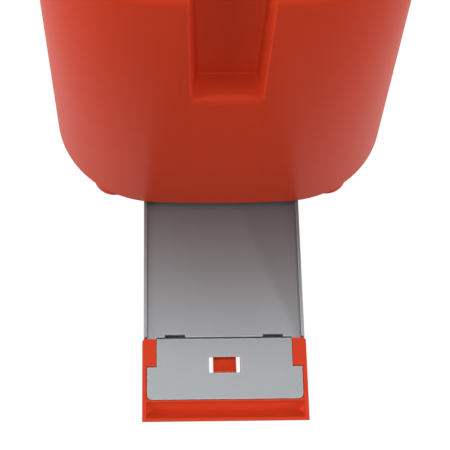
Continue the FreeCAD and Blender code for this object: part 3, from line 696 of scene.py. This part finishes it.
def make_housing():
    shell = plan_form("housing_shell", 0, skirt_height, body_height, top_edge, skirt_edge, 9)
    cavity = housing_cavity()
    near = channel_tool(ledge_slope)
    far = mirrored(channel_tool(lever_ledge_slope))
    holes = lever_end_holes()
    opening = deck_hole("deck_hole", body_height - 2 * wall, body_height + wall)
    carve(shell, [cavity, near, far] + holes + [opening])
    reach, sharp = 1e-4, 32

    def round_deck_hole(co):
        return (co.z > body_height - level_gap and abs(co.x) < deck_half_width + reach
                and abs(co.y - shift - slot_middle) < deck_half_length + reach)

    def ease(bm):
        bmesh.ops.remove_doubles(bm, verts=bm.verts, dist=merge_gap)
        rim = [edge for edge in edges_where(bm, round_deck_hole)
               if len(edge.link_faces) == 2
               and edge.calc_face_angle(0) > math.radians(square_angle)]
        soften(bm, rim, deck_rim_edge, 4)
    rework(shell, ease)
    shell.data.shade_smooth()
    shell.data.set_sharp_from_angle(angle=math.radians(sharp))
    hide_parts("housing")
    return dress(shell, "toaster", "orange_plastic")


# Crumb tray and its handle

def slot_blocks(name, grow, y0, low, high):
    # One long groove at the fold with two wider pockets
    runs = ((-groove_half, groove_half, groove_reach),
            (-pocket_outer, -pocket_inner, pocket_reach),
            (pocket_inner, pocket_outer, pocket_reach))
    return [block(name, place(left - grow, y0, low), place(right + grow, fold + reach + grow, high))
            for left, right, reach in runs]


def make_tray():
    # Side lips end in an inward hem, and the fold takes a groove with two pockets
    piece = copy_of("tray_sheet")
    lip = tray_half - hem_inset
    hems = [block("hem", place(left, fold + hem_front_gap, lip_top - hem_sheet),
                  place(right, tray_back - hem_back_gap, lip_top))
            for left, right in ((-lip, -lip + hem_width), (lip - hem_width, lip))]
    carve(piece, hems, "UNION")
    carve(piece, slot_blocks("fold_cut", 0, fold, tray_top - 2 * sheet, tray_top + sheet))
    ease_edges(piece, tray_edge, 2)
    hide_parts("tray_sheet")
    dress(piece, "tray", "tray_metal")


def make_fold_bead():
    # Sheet pressed down under the groove and its pockets
    front = fold - bead_lap
    outside = slot_blocks("fold_bead", bead_wall, front, bead_under, tray_top - sheet)
    inside = slot_blocks("bead_hollow", 0, front + bead_wall, bead_floor, tray_top)
    bead = carve(outside[0], outside[1:], "UNION")
    dress(carve(bead, inside), "tray", "tray_metal")


def trough_room():
    # Finger space: steep behind its rim, leaning in front, ends rounded up to the rails
    up = 0.001
    end_steps, end_depth = 8, 0.012
    half, r, y = trough_half, trough_corner, handle_front
    bottom, top = trough_bed_z, handle_top + 2 * up
    profile = [(trough_bed_y, trough_bed_z), (trough_back, trough_back_low),
               (trough_back, handle_top + up),
               (handle_front + trough_front_rim - up * trough_front_lean, handle_top + up)]
    room = prism("trough_room", [place(-half, y, z) for y, z in profile], Vector((2 * half, 0, 0)))
    bm = bmesh.new()
    vert = bm.verts.new(place(-half, y, top))
    vert = go(bm, vert, place(-half, y, bottom + r))
    vert = turn(bm, vert, place(-half + r, y, bottom + r), -90, end_steps, axis=(0, 1, 0))
    vert = go(bm, vert, place(half - r, y, bottom))
    vert = turn(bm, vert, place(half - r, y, bottom + r), -90, end_steps, axis=(0, 1, 0))
    go(bm, vert, place(half, y, top))
    join_ends(bm)
    raise_face(bm, close_face(bm), Vector((0, end_depth, 0)))
    return carve(room, [finish_mesh("trough_ends", bm)], "INTERSECT")


def upright_corners(bm, y):
    # Upright edges of the face that stands at this y
    return [edge for edge in edges_where(bm, lambda co: abs(co.y - y - shift) < level_gap)
            if abs(edge.verts[0].co.x - edge.verts[1].co.x) < 1e-6]


def handle_frame():
    # Side view with the trough's lower chin in front, drawn across, back corners rounded
    back = fold - handle_back_gap
    under = handle_front + chin_length
    side = [(back, handle_low), (back, handle_top), (handle_front, handle_top),
            (handle_front, handle_top - front_edge_height), (handle_front + chin_run, chin_low),
            (under, chin_low), (under, handle_low)]
    body = prism("tray_handle_shell", [place(-handle_half, y, z) for y, z in side],
                 Vector((2 * handle_half, 0, 0)))
    return rework(body, lambda bm: soften(bm, upright_corners(bm, back), handle_back_corner, 5))


def flap_rooms():
    # Space between the corner tabs, the step at the fold and the pocket that the flap lies in
    floor_top = flap_top - sheet
    past_fold, tab_room_top, room_top = fold + 0.002, 0.012, 0.011
    tab_room = block("tab_room", place(-tab_inner, fold - tab_room_front, floor_top),
                     place(tab_inner, past_fold, tab_room_top))
    step_room = block("step_room", place(-tab_inner, fold - step_front, step_low),
                      place(tab_inner, past_fold, room_top))
    pocket_end = fold - flap_room_front
    pocket = block("flap_pocket", place(-flap_half, pocket_end, floor_top),
                   place(flap_half, fold - flap_room_back, room_top))
    rework(pocket, lambda bm: soften(bm, upright_corners(bm, pocket_end), flap_corner, 6))
    return [tab_room, step_room, pocket]


def tongue_slits(hole_end):
    # A slit on each side frees the tongue, and one across frees its tip
    low, high = 0.002, 0.009
    far = tongue_slit_ratio * tongue_half
    slits = [block("tongue_slit", place(left, hole_end - tongue_slit_length, low),
                   place(right, hole_end + tongue_slit_end, high))
             for left, right in ((-far, -tongue_half), (tongue_half, far))]
    tip = block("tongue_tip", place(-tongue_tip_half, hole_end + tongue_tip, low),
                place(tongue_tip_half, hole_end + tongue_slit_end, high))
    return slits + [tip]


def catch_nose(hole_end):
    # Block on the tongue that fills the latch hole
    return block("catch_nose",
                 place(-tongue_half, hole_end - catch_length, flap_top - sheet - catch_seat),
                 place(tongue_half, hole_end - catch_gap, flap_top + catch_rise))


def catch_scoop(hole_end):
    # Hollow ramp from deep behind to the nose in front
    top = handle_top + 0.002
    y = hole_end + tongue_tip
    x = -scoop_half
    bm = bmesh.new()
    start = bm.verts.new(place(x, y, scoop_low))
    vert = turn(bm, start, place(x, y, scoop_low + scoop_radius), -scoop_turn, 10, axis=(1, 0, 0))
    vert = go(bm, vert, place(x, vert.co.y - shift, top))
    vert = go(bm, vert, place(x, y, top))
    bm.edges.new((vert, start))
    raise_face(bm, close_face(bm), Vector((2 * scoop_half, 0, 0)))
    return finish_mesh("catch_scoop", bm)


def make_handle():
    # Frame round the flap with a shadow gap, sprung tongue with its catch, finger trough in front
    body = handle_frame()
    carve(body, flap_rooms() + [trough_room()])
    hole_end = fold - latch_hole_back
    carve(body, tongue_slits(hole_end))
    carve(body, [catch_nose(hole_end)], "UNION")
    carve(body, [catch_scoop(hole_end)])
    ease_edges(body, handle_edge, 2, clamp=False)
    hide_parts("tray_handle")
    dress(body, "tray", "orange_plastic")


# CAD nodes take their finish, and the ones with bare edges get them eased

for name, piece in frame["nodes"].items():
    piece.data.materials.clear()
    piece.data.materials.append(looks[slot_of[name]])

make_housing()
make_tray()
make_fold_bead()
make_handle()

# Width of each eased edge and the number of its segments
eased_edges = {
    "slot_deck": (0.0004, 3), "base": (0.0005, 2),
    "browning_dial": (0.0004, 3), "button_left": (0.0004, 3), "button_middle": (0.0004, 3),
    "button_right": (0.0004, 3), "carriage": (0.0003, 2), "lifter_left": (0.0002, 2),
    "lifter_right": (0.0002, 2), "guide_left_outer": (0.0005, 2),
    "guide_left_inner": (0.0005, 2), "guide_right_inner": (0.0005, 2),
    "guide_right_outer": (0.0005, 2), "frame_front": (0.0002, 2), "frame_rear": (0.0002, 2),
    "reflector_left": (0.00015, 2), "reflector_right": (0.00015, 2),
    "element_left": (0.00015, 1), "element_centre": (0.00015, 1), "element_right": (0.00015, 1),
    "tray_rail_left": (0.0003, 2), "tray_rail_right": (0.0003, 2), "armature": (0.0004, 2),
    "magnet_core": (0.0005, 2), "magnet_coil": (0.0012, 3), "control_board": (0.0002, 1),
    "board_brackets": (0.0003, 2), "dial_body": (0.0006, 2), "button_switches": (0.0004, 2),
    "base_screws": (0.0003, 2), "cord_gland": (0.0005, 3), "guide_rod": (0.0004, 2),
    "feet": (0.0008, 3), "lever_knob": (0.0006, 3),
}
for name, (width, segments) in eased_edges.items():
    softened(name, width, segments)


# Small pieces that only the scene has

across_x = Vector((1, 0, 0))
along_y = Vector((0, 1, 0))
up_z = Vector((0, 0, 1))


def end_wall(x):
    # How far along Y the crowned end wall stands at this x
    return body_length - crown_radius + math.sqrt(crown_radius ** 2 - x ** 2) + shift


def bar(bm, centre, across, along, up, width, height, length):
    # Square-edged bar with its own three directions
    made = bmesh.ops.create_cube(bm, size=1.0)
    rows = Matrix((across * width, along * length, up * height)).transposed().to_4x4()
    bmesh.ops.transform(bm, matrix=Matrix.Translation(centre) @ rows, verts=made["verts"])
    return made["verts"]


def numeral(bm, text, size, angle, reach):
    # A figure of the dial's scale, upright, facing out of the lever end
    curve = bpy.data.curves.new("figure", "FONT")
    curve.body = text
    curve.size = size
    curve.align_x = "CENTER"
    curve.align_y = "CENTER"
    curve.extrude = 0.00006
    curve.offset = 0.00012
    holder = bpy.data.objects.new("figure", curve)
    bpy.context.scene.collection.objects.link(holder)
    graph = bpy.context.evaluated_depsgraph_get()
    mesh = bpy.data.meshes.new_from_object(holder.evaluated_get(graph))
    rows = Matrix(((-1, 0, 0), (0, 0, 1), (0, 1, 0))).transposed().to_4x4()
    place_at = Vector((-reach * math.sin(angle), 0, dial_height + reach * math.cos(angle)))
    mesh.transform(Matrix.Translation(place_at) @ rows)
    bm.from_mesh(mesh)
    bpy.data.objects.remove(holder)
    bpy.data.curves.remove(curve)
    bpy.data.meshes.remove(mesh)


def make_dial_scale():
    # Figures 1 to 6 with ticks between them, printed on the crowned wall round the dial
    first_angle, tick_angle, ticks = -135, 27, 11
    long_tick, short_tick, tick_width, print_height = 0.0018, 0.0011, 0.0007, 0.00012
    tick_start, figure_size, figure_reach = 0.0222, 0.0048, 0.0272
    bm = bmesh.new()
    for step in range(ticks):
        angle = math.radians(first_angle + tick_angle * step)
        length = long_tick if step % 2 == 0 else short_tick
        outward = Vector((-math.sin(angle), 0, math.cos(angle)))
        bar(bm, Vector((0, 0, dial_height)) + outward * (tick_start + length / 2),
            outward.cross(along_y), along_y, outward, tick_width, length, print_height)
        if step % 2 == 0:
            numeral(bm, str(step // 2 + 1), figure_size, angle, figure_reach)
    for vert in bm.verts:
        vert.co.y += end_wall(vert.co.x)
    bmesh.ops.remove_doubles(bm, verts=bm.verts, dist=1e-7)
    bmesh.ops.recalc_face_normals(bm, faces=bm.faces)
    dress(finish_mesh("dial_scale", bm), "toaster", "black_plastic")


def make_dial_pointer():
    # Metal line let into the pointer groove
    groove_out, inner, outer = 0.01355, 0.0033, 0.0146
    half_thick, half_wide, edge = 0.0003, 0.0008, 0.00015
    y = body_length + groove_out
    line = block("dial_pointer", place(-half_wide, y - half_thick, dial_height + inner),
                 place(half_wide, y + half_thick, dial_height + outer), edge, 2)
    dress(line, "dial", "brushed_steel")


def make_winding(name, x):
    # Flat heating wire: straight up one face of the card, slanting down the other
    card_half, wire_gap = 0.0006, 0.0001
    half = card_half + wire_gap
    low, high, wide, thick = 0.0476, 0.1684, 0.0016, 0.00018
    middle = (low + high) / 2
    first, step, count = 0.038, 0.164 / 9, 8
    bm = bmesh.new()
    for index in range(count):
        y = first + step * (index + 1)
        bar(bm, place(x + half, y, middle), across_x, along_y, up_z, thick, high - low, wide)
        for z in (low, high):
            bar(bm, place(x, y, z), across_x, along_y, up_z, 2 * half + thick, thick, wide)
        if index < count - 1:
            run = place(x - half, y + step, low) - place(x - half, y, high)
            up = run.normalized()
            bar(bm, place(x - half, y + step / 2, middle), across_x, up.cross(across_x), up,
                thick, run.length, wide)
    bmesh.ops.recalc_face_normals(bm, faces=bm.faces)
    dress(finish_mesh(name, bm), "toaster", "zinc_steel")


def make_board_parts():
    # Capacitors, relay and chip on the inner side of the control board
    board, seat = 0.2544, 0.0001
    capacitors = ((0.026, 0.040, 0.0050, 0.0115), (0.026, 0.053, 0.0040, 0.0095),
                  (-0.027, 0.036, 0.0040, 0.0095))
    boxes = ((-0.026, 0.060, 0.016, 0.019, 0.0105), (0.024, 0.074, 0.013, 0.008, 0.0022),
             (-0.026, 0.084, 0.009, 0.006, 0.0028))
    lie_along_y = Matrix.Rotation(math.radians(90), 3, "X")
    bm = bmesh.new()
    for x, z, radius, height in capacitors:
        made = bmesh.ops.create_cone(bm, cap_ends=True, segments=28, radius1=radius,
                                     radius2=radius, depth=height)
        bmesh.ops.rotate(bm, cent=(0, 0, 0), matrix=lie_along_y, verts=made["verts"])
        bmesh.ops.translate(bm, vec=place(x, board - height / 2 + seat, z), verts=made["verts"])
    for x, z, width, height, deep in boxes:
        bar(bm, place(x, board - deep / 2 + seat, z), across_x, along_y, up_z,
            width, height, deep)
    hard = [edge for edge in bm.edges if edge.calc_face_angle(0) > math.radians(square_angle)]
    soften(bm, hard, 0.0004, 2)
    piece = finish_mesh("board_parts", bm, eased_sharp_angle)
    even_shading(piece)
    dress(piece, "toaster", "black_plastic")


make_dial_scale()
make_dial_pointer()
make_winding("winding_left", -0.048)
make_winding("winding_centre", 0.0)
make_winding("winding_right", 0.048)
make_board_parts()


# Floor, light and camera

def seen_rays(tree):
    # 1 for rays from the camera, off shiny surfaces and through clear ones, 0 for soft light
    path = add_node(tree, "ShaderNodeLightPath")
    direct = add_node(tree, "ShaderNodeMath", operation="MAXIMUM")
    seen = add_node(tree, "ShaderNodeMath", operation="MAXIMUM")
    tree.links.new(path.outputs["Is Camera Ray"], direct.inputs[0])
    tree.links.new(path.outputs["Is Glossy Ray"], direct.inputs[1])
    tree.links.new(direct.outputs["Value"], seen.inputs[0])
    tree.links.new(path.outputs["Is Transmission Ray"], seen.inputs[1])
    return seen.outputs["Value"]


def floor_look():
    # White to the camera with a faint shadow, plain grey to the light that the floor sends back
    seen_glow, seen_grey, sent_grey = 0.94, 0.13, 0.24
    material = bpy.data.materials.new("floor_white")
    material.use_nodes = True
    tree = material.node_tree
    tree.nodes.clear()
    output = add_node(tree, "ShaderNodeOutputMaterial")
    seen = add_node(tree, "ShaderNodeAddShader")
    glow = add_node(tree, "ShaderNodeEmission")
    glow.inputs["Strength"].default_value = seen_glow
    shade = add_node(tree, "ShaderNodeBsdfDiffuse")
    shade.inputs["Color"].default_value = (seen_grey, seen_grey, seen_grey, 1)
    matt = add_node(tree, "ShaderNodeBsdfDiffuse")
    matt.inputs["Color"].default_value = (sent_grey, sent_grey, sent_grey, 1)
    either = add_node(tree, "ShaderNodeMixShader")
    link = tree.links.new
    link(glow.outputs["Emission"], seen.inputs[0])
    link(shade.outputs["BSDF"], seen.inputs[1])
    link(seen_rays(tree), either.inputs["Fac"])
    link(matt.outputs["BSDF"], either.inputs[1])
    link(seen.outputs["Shader"], either.inputs[2])
    link(either.outputs["Shader"], output.inputs["Surface"])
    return material


def make_floor():
    bm = bmesh.new()
    bmesh.ops.create_grid(bm, x_segments=1, y_segments=1, size=4.0)
    floor = finish_mesh("floor", bm)
    floor.data.materials.append(floor_look())


def make_lamp(name, place_at, aim, size, energy):
    lamp = bpy.data.lights.new(name, "AREA")
    lamp.shape = "RECTANGLE"
    lamp.size, lamp.size_y = size
    lamp.energy = energy
    holder = bpy.data.objects.new(name, lamp)
    holder.location = place_at
    holder.rotation_mode = "QUATERNION"
    holder.rotation_quaternion = (Vector(aim) - Vector(place_at)).to_track_quat("-Z", "Y")
    bpy.context.scene.collection.objects.link(holder)


def make_world(strength):
    # White where it is seen, a soft level as light
    world = bpy.data.worlds.new("soft_room")
    world.use_nodes = True
    tree = world.node_tree
    tree.nodes.clear()
    output = add_node(tree, "ShaderNodeOutputWorld")
    either = add_node(tree, "ShaderNodeMixShader")
    tree.links.new(seen_rays(tree), either.inputs["Fac"])
    for level, port in ((strength, 1), (1.0, 2)):
        background = add_node(tree, "ShaderNodeBackground")
        background.inputs["Color"].default_value = (1, 1, 1, 1)
        background.inputs["Strength"].default_value = level
        tree.links.new(background.outputs["Background"], either.inputs[port])
    tree.links.new(either.outputs["Shader"], output.inputs["Surface"])
    bpy.context.scene.world = world


def make_camera():
    # Pinhole camera fitted to the photo's outlines
    pitch, yaw, roll = math.radians(64.774), math.radians(-4.619), math.radians(3.756)
    focal_pixels, photo_pixels, sensor_width = 1477.5, 450, 36.0
    stand = place(-0.02399, -0.32877, 0.6849)
    forward = Vector((0, math.cos(pitch), -math.sin(pitch)))
    up = Vector((0, math.sin(pitch), math.cos(pitch)))
    spin = Matrix.Rotation(yaw, 3, "Z")
    forward, up, right = spin @ forward, spin @ up, spin @ across_x
    across = math.cos(roll) * right + math.sin(roll) * up
    upward = -math.sin(roll) * right + math.cos(roll) * up
    data = bpy.data.cameras.new("camera")
    data.sensor_width = sensor_width
    data.lens = focal_pixels / photo_pixels * sensor_width
    data.clip_start = 0.01
    data.clip_end = 20.0
    camera = bpy.data.objects.new("camera", data)
    rows = Matrix((across, upward, -forward)).transposed().to_4x4()
    camera.matrix_world = Matrix.Translation(stand) @ rows
    bpy.context.scene.collection.objects.link(camera)
    bpy.context.scene.camera = camera


make_floor()
make_world(0.13)

# Where each lamp stands, what it looks at, its width and height, and its watts
lamps = {
    "top": ((0.0, 0.20, 1.5), (0, -0.05, 0.1), (1.0, 0.7), 9),
    "top_left": ((-0.6, 0.25, 1.4), (0, -0.05, 0.1), (0.6, 0.6), 3),
    "left_side": ((-1.4, -0.25, 0.55), (0, -0.05, 0.08), (0.6, 0.6), 8.8),
    "left_front": ((-1.35, -0.55, 0.50), (0, -0.05, 0.08), (0.6, 0.6), 5.6),
    "right_side": ((1.4, -0.25, 0.45), (0, -0.05, 0.08), (0.6, 0.6), 6.3),
    "right_front": ((1.35, -0.55, 0.45), (0, -0.05, 0.08), (0.6, 0.6), 5.1),
    "front": ((-0.2, -2.35, 1.65), (0, -0.05, 0.10), (1.5, 0.9), 26),
    "back": ((0.1, 1.4, 0.70), (0, 0.05, 0.10), (0.8, 0.5), 9),
}
for name, (place_at, aim, size, energy) in lamps.items():
    make_lamp(name, place_at, aim, size, energy)
make_camera()
bpy.context.scene.view_settings.view_transform = "Standard"
